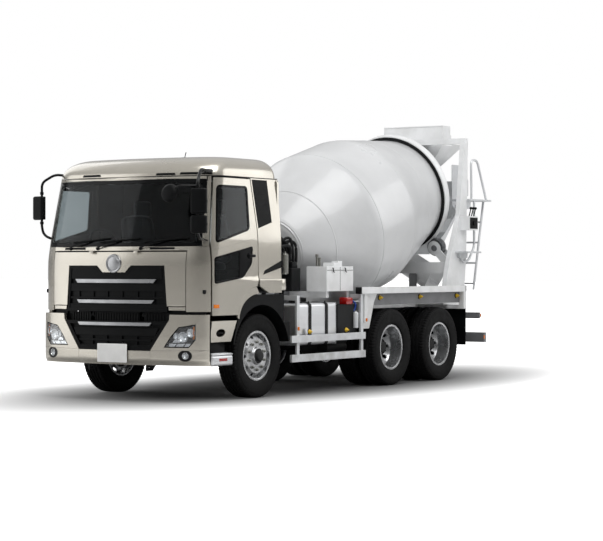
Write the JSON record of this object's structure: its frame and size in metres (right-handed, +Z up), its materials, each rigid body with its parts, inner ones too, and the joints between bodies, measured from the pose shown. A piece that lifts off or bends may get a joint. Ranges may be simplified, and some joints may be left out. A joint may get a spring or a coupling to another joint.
{
  "type": "concrete mixer truck",
  "caption": "Heavy truck with a tilting cab-over cab, steered and twin driven wheels, and an inclined mixing drum on rollers that is filled by a hopper and emptied by a swinging chute.",
  "frame": {"origin": "on the ground under the middle of the vehicle's overall length and width", "axes": "+X forward, +Y to the vehicle's left, +Z up"},
  "size_m": [8.24, 2.8122, 3.64],
  "materials": {
    "chassis_paint": "satin",
    "body_white": "gloss",
    "axle_iron": "satin",
    "engine_iron": "matt",
    "cab_paint": "gloss",
    "black_plastic": "matt",
    "lamp_glass": "gloss",
    "step_aluminium": "satin",
    "guard_steel": "satin",
    "body_grey": "satin",
    "hose_rubber": "matt",
    "tinted_glass": "gloss",
    "seat_fabric": "matt",
    "wheel_steel": "satin",
    "tyre_rubber": "matt",
    "blade_steel": "worn",
    "roller_steel": "satin"
  },
  "bodies": {
    "chassis": {"frame_rails": "chassis_paint", "mixer_subframe": "body_white", "axles": "axle_iron", "leaf_springs": "axle_iron", "powertrain": "engine_iron", "bumper": "cab_paint", "lower_grille": "black_plastic", "lamps": "lamp_glass", "door_steps": "step_aluminium", "mudguards": "black_plastic", "fuel_tank": "step_aluminium", "side_boxes": "chassis_paint", "side_guards": "guard_steel", "side_decks": "body_white", "rear_bumper": "body_grey", "control_boxes": "guard_steel", "front_pedestal": "body_grey", "rear_pedestal": "body_white", "hopper": "body_white", "discharge_guide": "body_grey", "platform": "body_grey", "hoses": "hose_rubber"},
    "cab": {"cab_shell": "cab_paint", "cab_rear": "cab_paint", "cab_side_left": "cab_paint", "cab_side_right": "cab_paint", "cab_roof": "cab_paint", "windscreen": "tinted_glass", "quarter_panels": "black_plastic", "seats": "seat_fabric", "dashboard": "black_plastic", "wipers": "black_plastic", "mirrors": "black_plastic"},
    "left_door": {"door_left": "cab_paint", "door_left_glass": "tinted_glass"},
    "right_door": {"door_right": "cab_paint", "door_right_glass": "tinted_glass"},
    "lid": {"front_lid": "cab_paint", "upper_grille": "black_plastic"},
    "left_knuckle": {"knuckle_left": "axle_iron"},
    "right_knuckle": {"knuckle_right": "axle_iron"},
    "steering_rod": {"tie_rod": "axle_iron"},
    "front_wheel_left": {"front_rim_left": "wheel_steel", "front_tyre_left": "tyre_rubber"},
    "front_wheel_right": {"front_rim_right": "wheel_steel", "front_tyre_right": "tyre_rubber"},
    "wheels_left_2": {"rim_left_2": "wheel_steel", "tyres_left_2": "tyre_rubber"},
    "wheels_right_2": {"rim_right_2": "wheel_steel", "tyres_right_2": "tyre_rubber"},
    "wheels_left_3": {"rim_left_3": "wheel_steel", "tyres_left_3": "tyre_rubber"},
    "wheels_right_3": {"rim_right_3": "wheel_steel", "tyres_right_3": "tyre_rubber"},
    "drum": {"drum_shell": "body_white", "drum_blades": "blade_steel"},
    "left_roller": {"roller_left": "roller_steel"},
    "right_roller": {"roller_right": "roller_steel"},
    "swivel": {"chute_swivel": "body_grey"},
    "discharge_chute": {"chute": "body_white"}
  },
  "joints": [
    {"name": "cab_tilt", "type": "hinge", "parent": "chassis", "child": "cab", "pos_m": [3.735, 0, 1], "axis": [0, 1, 0], "range_deg": [0, 45]},
    {"name": "door_left_swing", "type": "hinge", "parent": "cab", "child": "left_door", "pos_m": [3.56, 1.20784, 1.3], "axis": [0, 0, -1], "range_deg": [0, 70]},
    {"name": "door_right_swing", "type": "hinge", "parent": "cab", "child": "right_door", "pos_m": [3.56, -1.20784, 1.3], "axis": [0, 0, 1], "range_deg": [0, 70]},
    {"name": "front_lid_lift", "type": "hinge", "parent": "cab", "child": "lid", "pos_m": [3.842, 0, 1.758], "axis": [0, -1, 0], "range_deg": [0, 78]},
    {"name": "steer_left", "type": "hinge", "parent": "chassis", "child": "left_knuckle", "pos_m": [2.5, 0.87, 0.508], "axis": [0, 0, 1], "range_deg": [-35, 35]},
    {"name": "steer_right", "type": "hinge", "parent": "chassis", "child": "right_knuckle", "pos_m": [2.5, -0.87, 0.508], "axis": [0, 0, 1], "range_deg": [-35, 35]},
    {"name": "steering_rod_slide", "type": "slide", "parent": "chassis", "child": "steering_rod", "axis": [0, 1, 0], "range_m": [-0.11, 0.11]},
    {"name": "front_wheel_left_turn", "type": "hinge", "parent": "left_knuckle", "child": "front_wheel_left", "pos_m": [2.5, 1.022, 0.508], "axis": [0, 1, 0], "continuous": true},
    {"name": "front_wheel_right_turn", "type": "hinge", "parent": "right_knuckle", "child": "front_wheel_right", "pos_m": [2.5, -1.022, 0.508], "axis": [0, 1, 0], "continuous": true},
    {"name": "wheels_left_2_turn", "type": "hinge", "parent": "chassis", "child": "wheels_left_2", "pos_m": [-0.6, 0.925, 0.508], "axis": [0, 1, 0], "continuous": true},
    {"name": "wheels_left_3_turn", "type": "hinge", "parent": "chassis", "child": "wheels_left_3", "pos_m": [-1.92, 0.925, 0.508], "axis": [0, 1, 0], "continuous": true},
    {"name": "wheels_right_2_turn", "type": "hinge", "parent": "chassis", "child": "wheels_right_2", "pos_m": [-0.6, -0.925, 0.508], "axis": [0, 1, 0], "continuous": true},
    {"name": "wheels_right_3_turn", "type": "hinge", "parent": "chassis", "child": "wheels_right_3", "pos_m": [-1.92, -0.925, 0.508], "axis": [0, 1, 0], "continuous": true},
    {"name": "drum_turn", "type": "hinge", "parent": "chassis", "child": "drum", "pos_m": [-1, 0, 2.158], "axis": [-0.965, 0, 0.2622], "continuous": true},
    {"name": "left_roller_turn", "type": "hinge", "parent": "chassis", "child": "left_roller", "pos_m": [-2.95851, 0.58032, 1.86242], "axis": [-0.965, 0, 0.2622], "continuous": true},
    {"name": "right_roller_turn", "type": "hinge", "parent": "chassis", "child": "right_roller", "pos_m": [-2.95851, -0.58032, 1.86242], "axis": [-0.965, 0, 0.2622], "continuous": true},
    {"name": "chute_slew", "type": "hinge", "parent": "chassis", "child": "swivel", "pos_m": [-3.53, 0, 1.2], "axis": [0, 0, -1], "range_deg": [0, 120]},
    {"name": "chute_tilt", "type": "hinge", "parent": "swivel", "child": "discharge_chute", "pos_m": [-3.53, 0, 1.44], "axis": [1, 0, 0], "range_deg": [0, 55]}
  ],
  "couplings": [
    {"joint": "steer_right", "follows": "steer_left", "ratio": 1},
    {"joint": "steering_rod_slide", "follows": "steer_left", "m_per_rad": -0.18},
    {"joint": "left_roller_turn", "follows": "drum_turn", "ratio": -6.896},
    {"joint": "right_roller_turn", "follows": "drum_turn", "ratio": -6.896}
  ]
}
